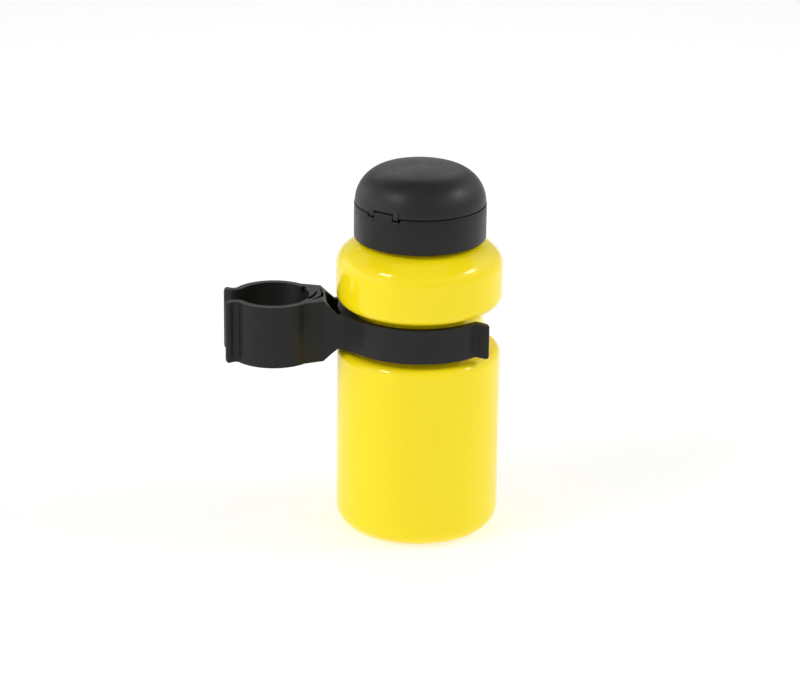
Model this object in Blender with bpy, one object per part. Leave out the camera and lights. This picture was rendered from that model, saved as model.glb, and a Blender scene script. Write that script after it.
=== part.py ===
"""Small bicycle drinking bottle with a hinged dome cap and a push-fit frame holder.

Metres, +Z up. The origin is on the bottle's axis, in the plane that it stands on.
The holder reaches out along -X to the bicycle tube that it clips to.
"""

from math import acos, asin, atan2, cos, degrees, hypot, pi, radians, sin, sqrt

import bmesh
import bpy
from mathutils import Matrix

MM = 0.001
FIT_GAP = 0.3 * MM  # left between pieces that touch on the real bottle
BURIED = 0.5 * MM  # how deep a joined shape starts inside what it joins
BEYOND = 3 * MM  # how far a cutter runs past what it cuts

# Bottle: blown in one piece, so its wall follows the outside.
BODY_RADIUS = 33.0 * MM
BASE_CORNER = 8.2 * MM
BASE_HOLLOW = 1.2 * MM  # ring-shaped hollow between the base's middle pad and its foot
BASE_PAD_RADIUS = 8.0 * MM
BASE_FOOT_BORE = 21.0 * MM
BASE_SLOPE = 1.4 * MM
BODY_TOP = 76.8 * MM
BODY_TOP_CORNER = 3.2 * MM
WAIST_RADIUS = 26.0 * MM
BULGE_RADIUS = 33.5 * MM
BULGE_BOTTOM = 95.1 * MM
BULGE_BOTTOM_CORNER = 4.6 * MM
BULGE_TOP_CORNER = 8.0 * MM
BULGE_TOP_CENTRE = 111.1 * MM  # height of the upper corner's centre
SHOULDER_TURN = 46.0  # degrees of that corner before the gentler curve up to the neck
SHOULDER_CURVE = 24.0 * MM  # radius of that gentler curve
SHOULDER_TOP_RADIUS = 24.6 * MM
NECK_BOTTOM = 121.9 * MM
NECK_RADIUS = 22.3 * MM
NECK_BORE = 20.3 * MM
NECK_TOP = 134.0 * MM
BOTTLE_WALL = 1.5 * MM

# Screw thread: the same pitch on the neck and in the cap.
THREAD_PITCH = 4.0 * MM
THREAD_TURNS = 1.5
THREAD_ROOT_WIDTH = 1.7 * MM
THREAD_CREST_WIDTH = 0.8 * MM
THREAD_STEP = radians(12)
NECK_THREAD_CREST = 23.5 * MM
NECK_THREAD_START = 125.2 * MM
CAP_THREAD_CREST = 22.8 * MM
CAP_THREAD_START = NECK_THREAD_START + THREAD_PITCH / 2

# Screw cap
COLLAR_RADIUS = 26.5 * MM
COLLAR_BORE = 24.6 * MM
COLLAR_BOTTOM = 122.7 * MM
COLLAR_TOP = 137.0 * MM
PLATE_BOTTOM = 135.4 * MM
LOCATOR_RADIUS = 22.2 * MM  # raised ring that centres the closed lid
LOCATOR_BORE = 20.8 * MM
LOCATOR_TOP = 138.4 * MM
GASKET_RADIUS = 24.2 * MM
GASKET_BORE = 19.6 * MM

# Lid
LID_RADIUS = 26.25 * MM
LID_RIM = 137.3 * MM
LID_CORNER = 14.0 * MM
LID_CROWN = 60.0 * MM  # radius of the nearly flat top
LID_WALL = 1.5 * MM
THUMB_HALF_WIDTH = 6.0 * MM
THUMB_REACH = 1.3 * MM
THUMB_HEIGHT = 2.6 * MM

# Lid hinge: a tongue of the collar between two ears of the lid, with a pin through them.
HINGE_AZIMUTH = radians(-129.5)
HINGE_RADIUS = 24.9 * MM
HINGE_Z = 137.4 * MM
KNUCKLE_RADIUS = 1.2 * MM
EAR_RADIUS = 1.15 * MM
TONGUE_HALF = 4.3 * MM
EAR_INNER = 4.6 * MM
EAR_OUTER = 6.6 * MM
LID_SLOT_TOP = 139.1 * MM
COLLAR_SLOT_HALF = 7.8 * MM
COLLAR_SLOT_FLOOR = 135.95 * MM
COLLAR_SLOT_BORE = 23.2 * MM
TONGUE_FLAT_FLOOR = 135.3 * MM  # the lid's slot edge swings down past here
PIN_RADIUS = 0.5 * MM
PIN_HALF = 6.4 * MM
PIN_HOLE = PIN_RADIUS + 0.1 * MM

# Push-pull valve in the middle of the cap
STEM_RADIUS = 5.2 * MM
STEM_BORE = 3.3 * MM
STEM_ROOF = 1.1 * MM
STEM_BOTTOM = 133.9 * MM
STEM_TOP = 144.7 * MM
STEM_HEAD_RADIUS = 5.9 * MM  # what stops the spout from coming off
STEM_HEAD_BOTTOM = 142.7 * MM
STEM_FLANGE_RADIUS = 9.0 * MM
STEM_SHOULDER_RADIUS = 7.6 * MM
STEM_SHOULDER_HEIGHT = 0.9 * MM
PLUG_RADIUS = 2.0 * MM
PLUG_TOP = 147.1 * MM
PORTS = 3
PORT_RADIUS = 0.45 * MM
PORT_CIRCLE = 2.75 * MM
SEAL_Z = 143.7 * MM
SEAL_CIRCLE = 5.5 * MM
SEAL_SECTION = 0.42 * MM
SEAL_GROOVE = 4.75 * MM
SPOUT_BORE = 6.2 * MM
SPOUT_LIP = 5.5 * MM  # bore of the lip that catches under the stem's head
SPOUT_BOTTOM = 138.6 * MM
SPOUT_TOP = 147.5 * MM
SPOUT_CEILING = 145.1 * MM
SPOUT_HOLE = 2.4 * MM
SPOUT_FLANGE_RADIUS = 9.0 * MM
SPOUT_WAIST_RADIUS = 7.4 * MM
SPOUT_BEAD_RADIUS = 8.1 * MM  # what teeth and fingers pull on

# Holder: one moulding, a C for the bicycle tube and a C for the bottle's waist.
TUBE_X = -58.6 * MM
RING_RADIUS = 17.0 * MM
RING_BORE = 14.3 * MM
RING_HEIGHT = 25.5 * MM
BAND_RADIUS = 31.6 * MM
BAND_BORE = 28.9 * MM
BAND_HEIGHT = 14.0 * MM
HOLDER_Z = 86.3 * MM
NECK_CORNER = (-39.2 * MM, 9.8 * MM)
NECK_FLARE = ((-36.2, 10.3), (-33.2, 11.5), (-30.4, 13.2), (-28.2, 15.4))  # in mm
BAND_LEAVE = radians(145)  # where the neck's flare runs into the band
BAND_LIP_OUTER = radians(50.5)  # where the band's outer and inner sides run into its lip
BAND_LIP_INNER = radians(52)
BAND_LIP = (  # flared end of the band, outer side, tip and inner side, in mm
    (20.9, 24.35),
    (22.0, 24.9),
    (23.2, 25.7),
    (24.3, 26.4),
    (25.1, 26.4),
    (25.7, 25.7),
    (25.6, 24.8),
    (24.0, 23.2),
    (22.3, 21.9),
    (20.8, 21.25),
    (19.3, 21.6),
)
WALL_JOIN = 12.35 * MM  # half width where the neck leaves the tube ring
LIP_LEAVE = radians(34)  # where the tube ring turns out into its lips, from the middle of its mouth
LIP_BEND = 3.4 * MM
LIP_FLARE = radians(35)
LIP_STRAIGHT = 0.8 * MM
RING_TIP_X = -78.3 * MM
BAND_TIP_X = 25.8 * MM
TIP_CORNER = 1.3 * MM  # rounding of the lips' corners, seen from the side
POCKETS = (  # moulding hollows in the neck, top and bottom: name, depth, outline in mm
    (
        "wide_pocket",
        10.6,
        (
            (-37.7, -6.6),
            (-36.0, -9.1),
            (-33.6, -9.9),
            (-31.9, -9.0),
            (-32.9, 0),
            (-31.9, 9.0),
            (-33.6, 9.9),
            (-36.0, 9.1),
            (-37.7, 6.6),
        ),
    ),
    (
        "slot_pocket",
        9.0,
        (
            (-45.9, -5.4),
            (-44.0, -3.3),
            (-42.4, -0.2),
            (-41.5, 2.5),
            (-40.8, 2.3),
            (-41.6, -1.2),
            (-42.7, -4.1),
            (-44.6, -6.8),
        ),
    ),
    (
        "hook_pocket",
        5.0,
        (
            (-39.7, 5.4),
            (-39.0, 5.7),
            (-38.5, 1.0),
            (-38.8, -3.6),
            (-41.2, -6.0),
            (-43.4, -7.6),
            (-43.7, -7.0),
            (-41.6, -5.0),
            (-39.9, -2.6),
            (-39.4, 1.0),
        ),
    ),
    ("ring_notch", 2.2, ((-48.0, 7.4), (-46.2, 5.2), (-44.7, 7.4), (-46.2, 9.4))),
)
RING_STEP = radians(6)
BAND_STEP = radians(5)


# --- plain mesh helpers -------------------------------------------------------------------


def clear_scene():
    for obj in list(bpy.data.objects):
        bpy.data.objects.remove(obj, do_unlink=True)


def make_material(name, colour, roughness, metallic=0.0):
    material = bpy.data.materials.new(name)
    material.use_nodes = True
    shader = material.node_tree.nodes["Principled BSDF"]
    shader.inputs["Base Color"].default_value = (*colour, 1.0)
    shader.inputs["Roughness"].default_value = roughness
    shader.inputs["Metallic"].default_value = metallic
    return material


def add_object(name, verts, faces, material=None):
    """A mesh object whose faces all point outwards."""
    mesh = bpy.data.meshes.new(name)
    mesh.from_pydata([tuple(v) for v in verts], [], faces)
    shape = bmesh.new()
    shape.from_mesh(mesh)
    bmesh.ops.recalc_face_normals(shape, faces=shape.faces)
    if shape.calc_volume(signed=True) < 0:
        bmesh.ops.reverse_faces(shape, faces=shape.faces)
    shape.to_mesh(mesh)
    shape.free()
    mesh.shade_smooth()
    mesh.set_sharp_from_angle(angle=radians(35))
    obj = bpy.data.objects.new(name, mesh)
    bpy.context.collection.objects.link(obj)
    if material:
        mesh.materials.append(material)
    return obj


def helper(obj):
    """Marks a cutter or a shape that another object takes in."""
    obj.hide_render = True
    obj.display_type = "WIRE"
    return obj


def boolean(target, other, operation):
    modifier = target.modifiers.new(f"{operation} {other.name}", "BOOLEAN")
    modifier.operation = operation
    modifier.solver = "EXACT"
    modifier.object = helper(other)


def turned(name, profile, steps, material=None):
    """Turns a closed (radius, height) outline about Z. A point at radius 0 becomes one vertex."""
    verts, rings = [], []
    for radius, height in profile:
        if radius == 0:
            rings.append([len(verts)] * steps)
            verts.append((0, 0, height))
            continue
        rings.append([len(verts) + k for k in range(steps)])
        for k in range(steps):
            angle = 2 * pi * k / steps
            verts.append((radius * cos(angle), radius * sin(angle), height))
    faces = []
    for here, there in zip(rings, rings[1:] + rings[:1]):
        for k in range(steps):
            after = (k + 1) % steps
            corners = [here[k], here[after], there[after], there[k]]
            corners = [c for i, c in enumerate(corners) if c != corners[i - 1]]
            if len(corners) > 2:
                faces.append(corners)
    return add_object(name, verts, faces, material)


def extruded(name, outline, low, high, material=None):
    """A prism on a closed (x, y) outline, from one height to another."""
    count = len(outline)
    verts = [(x, y, z) for z in (low, high) for x, y in outline]
    faces = [[k, (k + 1) % count, count + (k + 1) % count, count + k] for k in range(count)]
    faces.append(list(range(count)))
    faces.append(list(range(count, 2 * count)))
    return add_object(name, verts, faces, material)


def box(name, low, high):
    (x0, y0, z0), (x1, y1, z1) = low, high
    return extruded(name, [(x0, y0), (x1, y0), (x1, y1), (x0, y1)], z0, z1)


def slab(name, outline, start, end):
    """A prism on a closed (x, z) outline, running along Y."""
    count = len(outline)
    verts = [(x, y, z) for y in (start, end) for x, z in outline]
    faces = [[k, (k + 1) % count, count + (k + 1) % count, count + k] for k in range(count)]
    faces.append(list(range(count)))
    faces.append(list(range(count, 2 * count)))
    return add_object(name, verts, faces)


def rod(name, radius, start, end, steps=20):
    return slab(name, arc(0, 0, radius, 0, 360 - 360 / steps, steps - 1), start, end)


def arc(centre_a, centre_b, radius, start, end, steps):
    """Points on an arc, angles in degrees, both ends included."""
    points = []
    for k in range(steps + 1):
        angle = radians(start + (end - start) * k / steps)
        points.append((centre_a + radius * cos(angle), centre_b + radius * sin(angle)))
    return points


# --- bottle -------------------------------------------------------------------------------


def shoulder(inset, top_radius, steps):
    """Points from the bulge's side up over its corner and a gentler curve, inset from the outside."""
    turn = radians(SHOULDER_TURN)
    back = SHOULDER_CURVE - BULGE_TOP_CORNER
    centre = BULGE_RADIUS - BULGE_TOP_CORNER
    points = arc(centre, BULGE_TOP_CENTRE, BULGE_TOP_CORNER - inset, 0, SHOULDER_TURN, steps)
    curve = SHOULDER_CURVE - inset
    centre -= back * cos(turn)
    height = BULGE_TOP_CENTRE - back * sin(turn)
    end = degrees(acos((top_radius - centre) / curve))
    return points + arc(centre, height, curve, SHOULDER_TURN, end, steps)[1:]


def bottle_outline():
    """Closed (radius, height) outline: up the outside, over the rim and down the inside."""
    outside = [(0, 0), (BASE_PAD_RADIUS, 0), (BASE_PAD_RADIUS + BASE_SLOPE, BASE_HOLLOW)]
    outside += [(BASE_FOOT_BORE - BASE_SLOPE, BASE_HOLLOW), (BASE_FOOT_BORE, 0)]
    outside += arc(BODY_RADIUS - BASE_CORNER, BASE_CORNER, BASE_CORNER, -90, 0, 6)
    outside += arc(BODY_RADIUS - BODY_TOP_CORNER, BODY_TOP - BODY_TOP_CORNER, BODY_TOP_CORNER, 0, 90, 4)
    outside += [(WAIST_RADIUS, BODY_TOP + 0.6 * MM), (WAIST_RADIUS, BULGE_BOTTOM - 0.4 * MM)]
    corner = BULGE_BOTTOM_CORNER
    outside += arc(BULGE_RADIUS - corner, BULGE_BOTTOM + corner, corner, -90, 0, 5)
    outside += shoulder(0, SHOULDER_TOP_RADIUS, 4)
    outside += [(NECK_RADIUS, NECK_BOTTOM), (NECK_RADIUS, NECK_TOP), (NECK_BORE, NECK_TOP)]

    wall = BOTTLE_WALL
    inside = shoulder(wall, NECK_BORE, 3)[::-1]
    corner = BULGE_BOTTOM_CORNER
    inside += arc(BULGE_RADIUS - corner, BULGE_BOTTOM + corner, corner - wall, 0, -90, 3)
    inside += [(WAIST_RADIUS - wall, BULGE_BOTTOM + wall), (WAIST_RADIUS - wall, BODY_TOP - wall)]
    corner = BODY_TOP_CORNER
    inside += arc(BODY_RADIUS - corner, BODY_TOP - corner, corner - wall, 90, 0, 2)
    inside += arc(BODY_RADIUS - BASE_CORNER, BASE_CORNER, BASE_CORNER - wall, 0, -90, 4)
    inside += [(BASE_FOOT_BORE, wall), (BASE_FOOT_BORE - BASE_SLOPE, BASE_HOLLOW + wall)]
    inside += [(BASE_PAD_RADIUS + BASE_SLOPE, BASE_HOLLOW + wall), (BASE_PAD_RADIUS, wall), (0, wall)]
    return outside + inside


def helical_ridge(name, root, crest, start):
    """A thread ridge of trapezoid section that fades out at both ends."""
    count = round(2 * pi * THREAD_TURNS / THREAD_STEP)
    fade = 4
    verts, faces = [], []
    for k in range(count + 1):
        angle = k * THREAD_STEP
        grown = min(1.0, (min(k, count - k) + 0.5) / fade)
        tip = root + (crest - root) * (0.25 + 0.75 * grown)
        z = start + THREAD_PITCH * angle / (2 * pi)
        for radius, offset in (
            (root, -THREAD_ROOT_WIDTH / 2),
            (tip, -THREAD_CREST_WIDTH / 2),
            (tip, THREAD_CREST_WIDTH / 2),
            (root, THREAD_ROOT_WIDTH / 2),
        ):
            verts.append((radius * cos(angle), radius * sin(angle), z + offset))
    for k in range(count):
        for side in range(4):
            after = (side + 1) % 4
            faces.append([4 * k + side, 4 * k + after, 4 * k + 4 + after, 4 * k + 4 + side])
    faces.append([0, 1, 2, 3])
    faces.append([4 * count + side for side in range(4)])
    return add_object(name, verts, faces)


def build_bottle(material):
    body = turned("bottle_body", bottle_outline(), 48, material)
    thread = helical_ridge("neck_thread", NECK_RADIUS - BURIED, NECK_THREAD_CREST, NECK_THREAD_START)
    boolean(body, thread, "UNION")


# --- screw cap ----------------------------------------------------------------------------


def hinge_frame():
    """Matrix from hinge coordinates (X outwards, Y along the pin, Z up) to the world."""
    return Matrix.Rotation(HINGE_AZIMUTH, 4, "Z") @ Matrix.Translation((HINGE_RADIUS, 0, HINGE_Z))


def at_hinge(obj):
    obj.matrix_world = hinge_frame()
    return obj


def build_gasket(material):
    low, high = NECK_TOP + FIT_GAP, PLATE_BOTTOM - FIT_GAP
    outline = [(GASKET_BORE, low), (GASKET_RADIUS, low), (GASKET_RADIUS, high), (GASKET_BORE, high)]
    turned("cap_gasket", outline, 48, material)


def build_collar(material):
    hole = STEM_RADIUS + FIT_GAP
    outline = [
        (hole, PLATE_BOTTOM),
        (COLLAR_BORE, PLATE_BOTTOM),
        (COLLAR_BORE, COLLAR_BOTTOM + 0.5 * MM),
        (COLLAR_BORE + 0.4 * MM, COLLAR_BOTTOM),
        (COLLAR_RADIUS - 0.3 * MM, COLLAR_BOTTOM),
        (COLLAR_RADIUS, COLLAR_BOTTOM + 0.3 * MM),
        (COLLAR_RADIUS, TONGUE_FLAT_FLOOR - 0.5 * MM),
        (COLLAR_RADIUS, COLLAR_TOP - 0.3 * MM),
        (COLLAR_RADIUS - 0.3 * MM, COLLAR_TOP),
        (LOCATOR_RADIUS, COLLAR_TOP),
        (LOCATOR_RADIUS, LOCATOR_TOP),
        (LOCATOR_BORE, LOCATOR_TOP),
        (LOCATOR_BORE, COLLAR_TOP),
        (hole, COLLAR_TOP),
    ]
    collar = turned("cap_collar", outline, 48, material)
    thread = helical_ridge("cap_thread", COLLAR_BORE + BURIED, CAP_THREAD_CREST, CAP_THREAD_START)
    boolean(collar, thread, "UNION")
    slot = box(
        "collar_slot",
        (COLLAR_SLOT_BORE - HINGE_RADIUS, -COLLAR_SLOT_HALF, COLLAR_SLOT_FLOOR - HINGE_Z),
        (BEYOND, COLLAR_SLOT_HALF, BEYOND),
    )
    boolean(collar, at_hinge(slot), "DIFFERENCE")
    flat = box(
        "tongue_flat",
        (KNUCKLE_RADIUS - 0.05 * MM, -EAR_INNER, TONGUE_FLAT_FLOOR - HINGE_Z),
        (BEYOND, EAR_INNER, BEYOND),
    )
    boolean(collar, at_hinge(flat), "DIFFERENCE")
    sunk = COLLAR_SLOT_FLOOR - HINGE_Z - 0.35 * MM
    reach = KNUCKLE_RADIUS - 0.05 * MM
    profile = [(-KNUCKLE_RADIUS, sunk), (reach, sunk)] + arc(0, 0, KNUCKLE_RADIUS, 16.6, 180, 10)
    boolean(collar, at_hinge(slab("tongue", profile, -TONGUE_HALF, TONGUE_HALF)), "UNION")
    bore = rod("tongue_bore", PIN_HOLE, -EAR_OUTER, EAR_OUTER)
    boolean(collar, at_hinge(bore), "DIFFERENCE")


def build_stem(material):
    flange_top = PLATE_BOTTOM - FIT_GAP
    shoulder = COLLAR_TOP + FIT_GAP
    half_groove = SEAL_SECTION + FIT_GAP
    outline = [
        (0, STEM_TOP - STEM_ROOF),
        (STEM_BORE, STEM_TOP - STEM_ROOF),
        (STEM_BORE, STEM_BOTTOM),
        (STEM_FLANGE_RADIUS, STEM_BOTTOM),
        (STEM_FLANGE_RADIUS, flange_top),
        (STEM_RADIUS, flange_top),
        (STEM_RADIUS, shoulder),
        (STEM_SHOULDER_RADIUS, shoulder),
        (STEM_SHOULDER_RADIUS - 0.5 * MM, shoulder + STEM_SHOULDER_HEIGHT),
        (STEM_RADIUS, shoulder + STEM_SHOULDER_HEIGHT),
        (STEM_RADIUS, STEM_HEAD_BOTTOM),
        (STEM_HEAD_RADIUS, STEM_HEAD_BOTTOM),
        (STEM_HEAD_RADIUS, SEAL_Z - half_groove),
        (SEAL_GROOVE, SEAL_Z - half_groove),
        (SEAL_GROOVE, SEAL_Z + half_groove),
        (STEM_HEAD_RADIUS, SEAL_Z + half_groove),
        (STEM_HEAD_RADIUS - 0.25 * MM, STEM_TOP),
        (PLUG_RADIUS, STEM_TOP),
        (PLUG_RADIUS, PLUG_TOP - 0.4 * MM),
        (PLUG_RADIUS - 0.4 * MM, PLUG_TOP),
        (0, PLUG_TOP),
    ]
    stem = turned("valve_stem", outline, 32, material)
    for k in range(PORTS):
        angle = 2 * pi * (k + 0.3) / PORTS
        outline = arc(0, 0, PORT_RADIUS, 10, 340, 11)
        port = extruded(f"stem_port_{k + 1}", outline, STEM_TOP - BEYOND, STEM_TOP + BEYOND)
        port.location = (PORT_CIRCLE * cos(angle), PORT_CIRCLE * sin(angle), 0)
        boolean(stem, port, "DIFFERENCE")


def build_stem_seal(material):
    outline = arc(SEAL_CIRCLE, SEAL_Z, SEAL_SECTION, 0, 324, 9)
    turned("stem_seal", outline, 32, material)


def build_spout(material):
    bottom, top = SPOUT_BOTTOM, SPOUT_TOP
    outline = [
        (SPOUT_LIP, bottom),
        (SPOUT_FLANGE_RADIUS, bottom),
        (SPOUT_FLANGE_RADIUS, bottom + 1.2 * MM),
        (SPOUT_WAIST_RADIUS + 0.3 * MM, bottom + 1.9 * MM),
        (SPOUT_WAIST_RADIUS, bottom + 4.2 * MM),
        (SPOUT_BEAD_RADIUS, top - 2.5 * MM),
        (SPOUT_BEAD_RADIUS, top - 1.5 * MM),
        (SPOUT_BEAD_RADIUS - 0.9 * MM, top - 0.4 * MM),
        (SPOUT_BEAD_RADIUS - 1.9 * MM, top),
        (SPOUT_HOLE + 0.4 * MM, top),
        (SPOUT_HOLE, top - 0.4 * MM),
        (SPOUT_HOLE, SPOUT_CEILING),
        (SPOUT_BORE, SPOUT_CEILING),
        (SPOUT_BORE, bottom + 0.8 * MM),
        (SPOUT_LIP, bottom + 0.8 * MM),
    ]
    turned("pull_spout", outline, 32, material)


# --- lid ----------------------------------------------------------------------------------


def lid_shell(inset, steps):
    """(radius, height) points from the rim to the axis, inset from the lid's outside."""
    corner = LID_CORNER - inset
    crown = LID_CROWN - inset
    across = LID_RADIUS - LID_CORNER
    lift = sqrt((LID_CROWN - LID_CORNER) ** 2 - across**2)
    crown_z = LID_RIM - lift
    meet = degrees(atan2(lift, across))
    points = arc(across, LID_RIM, corner, 0, meet, steps)
    reach = radians(90 - meet)
    for k in range(1, 4):
        angle = reach * (1 - k / 3)
        radius = 0 if k == 3 else crown * sin(angle)
        points.append((radius, crown_z + crown * cos(angle)))
    return points


def build_lid(material):
    outline = lid_shell(0, 9) + lid_shell(LID_WALL, 6)[::-1]
    lid = turned("flip_lid", outline, 48, material)
    thumb_azimuth = degrees(HINGE_AZIMUTH) + 180
    spread = degrees(asin(THUMB_HALF_WIDTH / LID_RADIUS))
    outer = arc(0, 0, LID_RADIUS + THUMB_REACH, thumb_azimuth - spread, thumb_azimuth + spread, 6)
    inner_radius = LID_RADIUS - LID_WALL / 2
    inner = arc(0, 0, inner_radius, thumb_azimuth + spread + 2, thumb_azimuth - spread - 2, 6)
    thumb = extruded("thumb_lip", outer + inner, LID_RIM + 0.2 * MM, LID_RIM + THUMB_HEIGHT)
    boolean(lid, thumb, "UNION")
    for side in (-1, 1):
        low, high = sorted((side * (EAR_INNER - BURIED), side * EAR_OUTER))
        profile = arc(0, 0, EAR_RADIUS, 180, 380, 10)
        profile += [(EAR_RADIUS - 0.75 * MM, 2.6 * MM), (-EAR_RADIUS, 3.4 * MM)]
        boolean(lid, at_hinge(slab(f"ear_{high > 0:d}", profile, low, high)), "UNION")
    slot = box(
        "lid_slot",
        (-BEYOND, -EAR_INNER, -BEYOND),
        (BEYOND, EAR_INNER, LID_SLOT_TOP - HINGE_Z),
    )
    boolean(lid, at_hinge(slot), "DIFFERENCE")
    bore = rod("ear_bore", PIN_HOLE, -EAR_OUTER - BEYOND, EAR_OUTER + BEYOND)
    boolean(lid, at_hinge(bore), "DIFFERENCE")
    frame = hinge_frame()
    lid.data.transform(frame.inverted())
    lid.matrix_world = frame


def build_pin(material):
    pin = at_hinge(rod("hinge_pin", PIN_RADIUS, -PIN_HALF, PIN_HALF, 16))
    pin.data.materials.append(material)


# --- holder -------------------------------------------------------------------------------


def ring_lip():
    """Upper lip of the tube ring's mouth, as (distance out, half width), tip last.

    Returns its outer and inner sides: a bend back from the ring and a short straight end.
    """
    half = (RING_RADIUS - RING_BORE) / 2
    middle = (RING_RADIUS + RING_BORE) / 2
    bend, flare = LIP_BEND, LIP_FLARE
    start = LIP_LEAVE - pi / 2
    centre = (
        middle * cos(LIP_LEAVE) - bend * sin(start),
        middle * sin(LIP_LEAVE) + bend * cos(start),
    )
    outer, inner = [], []
    for k in range(6):
        heading = start + (flare - start) * k / 5
        across = (sin(heading), -cos(heading))
        outer.append((centre[0] + (bend - half) * across[0], centre[1] + (bend - half) * across[1]))
        inner.append((centre[0] + (bend + half) * across[0], centre[1] + (bend + half) * across[1]))
    end = (
        centre[0] + bend * sin(flare) + LIP_STRAIGHT * cos(flare),
        centre[1] - bend * cos(flare) + LIP_STRAIGHT * sin(flare),
    )
    tip = arc(end[0], end[1], half, degrees(flare) + 90, degrees(flare) - 90, 4)
    return outer, tip, inner[::-1]


def upper_half():
    """The holder's outline above the X axis, in three runs of (x, y) points.

    The outside runs from the tube ring's mouth to the bottle band's mouth; the band's inside
    and the ring's inside each run from that half's lip to the X axis.
    """
    lip_outer, tip, lip_inner = ring_lip()
    outside = [(TUBE_X - u, v) for u, v in tip[::-1][2:] + lip_outer[::-1]]
    ring_inside = [(TUBE_X - u, v) for u, v in tip[::-1][:3][::-1] + lip_inner]

    join = asin(WALL_JOIN / RING_RADIUS)
    swing = pi - join - LIP_LEAVE
    count = round(swing / RING_STEP)
    for k in range(1, count + 1):
        angle = LIP_LEAVE + swing * k / count
        outside.append((TUBE_X - RING_RADIUS * cos(angle), RING_RADIUS * sin(angle)))
    outside.append(NECK_CORNER)
    outside += [(x * MM, y * MM) for x, y in NECK_FLARE]

    count = round((BAND_LEAVE - BAND_LIP_OUTER) / BAND_STEP)
    outside += arc(0, 0, BAND_RADIUS, degrees(BAND_LEAVE), degrees(BAND_LIP_OUTER), count)
    outside += [(x * MM, y * MM) for x, y in BAND_LIP]
    count = round((pi - BAND_LIP_INNER) / BAND_STEP)
    band_inside = arc(0, 0, BAND_BORE, degrees(BAND_LIP_INNER), 180, count)

    count = round((pi - LIP_LEAVE) / RING_STEP)
    for k in range(1, count + 1):
        angle = LIP_LEAVE + (pi - LIP_LEAVE) * k / count
        ring_inside.append((TUBE_X - RING_BORE * cos(angle), RING_BORE * sin(angle)))
    return outside, band_inside, ring_inside


def holder_outline():
    outside, band_inside, ring_inside = upper_half()

    def mirrored(points):
        return [(x, -y) for x, y in points[::-1]]

    loop = outside + band_inside[:-1] + mirrored(band_inside) + mirrored(outside)
    loop += [(x, -y) for x, y in ring_inside[:-1]] + ring_inside[::-1]
    tidy = []
    for point in loop:
        if not tidy or hypot(point[0] - tidy[-1][0], point[1] - tidy[-1][1]) > 0.05 * MM:
            tidy.append(point)
    if hypot(tidy[0][0] - tidy[-1][0], tidy[0][1] - tidy[-1][1]) < 0.05 * MM:
        tidy.pop()
    return tidy


def build_holder(material):
    half_ring, half_band = RING_HEIGHT / 2, BAND_HEIGHT / 2
    holder = extruded("holder_clip", holder_outline(), -half_ring, half_ring, material)
    drop = half_ring - half_band
    for side in (-1, 1):
        step = [
            (NECK_CORNER[0] - BEYOND, half_ring + BEYOND),
            (NECK_CORNER[0] + drop, half_band),
            (BAND_RADIUS + BEYOND, half_band),
            (BAND_RADIUS + BEYOND, half_ring + BEYOND),
        ]
        cut_across(holder, f"band_step_{side > 0:d}", step, side)
        cut_pockets(holder, side)
        round_tips(holder, "ring", RING_TIP_X, -1, half_ring, side)
        round_tips(holder, "band", BAND_TIP_X, 1, half_band, side)
    holder.location = (0, 0, HOLDER_Z)


def round_tips(holder, name, tip_x, outwards, half_height, side):
    """Rounds a pair of lips' corners at their upper (side 1) or lower (side -1) edge."""
    overshoot = 0.02 * MM  # keeps the arc from only touching the edge
    centre_x = tip_x - outwards * TIP_CORNER
    centre_z = half_height - TIP_CORNER + overshoot
    outline = arc(centre_x, centre_z, TIP_CORNER, 90, 90 - 90 * outwards, 4)
    outline += [
        (tip_x + outwards * BEYOND, centre_z),
        (tip_x + outwards * BEYOND, half_height + BEYOND),
        (centre_x, half_height + BEYOND),
    ]
    cut_across(holder, f"{name}_tips_{side > 0:d}", outline, side)


def cut_across(holder, name, outline, side):
    """Cuts an (x, z) outline right through along Y, as drawn (side 1) or upside down (side -1)."""
    outline = [(x, side * z) for x, z in outline]
    cutter = slab(name, outline, -BAND_RADIUS - BEYOND, BAND_RADIUS + BEYOND)
    cutter.location = (0, 0, HOLDER_Z)
    boolean(holder, cutter, "DIFFERENCE")


def cut_pockets(holder, side):
    """Sinks the neck's hollows from the top (side 1) or the bottom (side -1)."""
    half = RING_HEIGHT / 2
    for name, depth, outline in POCKETS:
        outline = [(x * MM, y * MM) for x, y in outline]
        low, high = sorted((side * (half - depth * MM), side * (half + BEYOND)))
        cutter = extruded(f"{name}_{side > 0:d}", outline, low, high)
        cutter.location = (0, 0, HOLDER_Z)
        boolean(holder, cutter, "DIFFERENCE")


def main():
    clear_scene()
    yellow = make_material("yellow_polyethylene", (0.93, 0.80, 0.03), 0.3)
    black = make_material("black_polypropylene", (0.026, 0.026, 0.027), 0.38)
    dome_black = make_material("black_lid", (0.027, 0.028, 0.028), 0.42)
    holder_black = make_material("black_holder", (0.030, 0.030, 0.029), 0.45)
    soft_grey = make_material("grey_spout", (0.10, 0.10, 0.11), 0.5)
    white = make_material("natural_stem", (0.75, 0.75, 0.72), 0.4)
    rubber = make_material("seal_rubber", (0.35, 0.35, 0.36), 0.7)
    o_ring = make_material("o_ring_rubber", (0.02, 0.02, 0.02), 0.6)
    pin = make_material("pin_plastic", (0.03, 0.03, 0.03), 0.35)
    build_bottle(yellow)
    build_gasket(rubber)
    build_collar(black)
    build_stem(white)
    build_stem_seal(o_ring)
    build_spout(soft_grey)
    build_lid(dome_black)
    build_pin(pin)
    build_holder(holder_black)


main()
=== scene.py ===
"""The bicycle bottle's looks: its pieces at full smoothness, its plastics, and a light studio."""

from math import acos, asin, atan2, ceil, cos, degrees, pi, radians, sin, sqrt, tan

import bmesh
import bpy
from mathutils import Matrix, Vector


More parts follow.
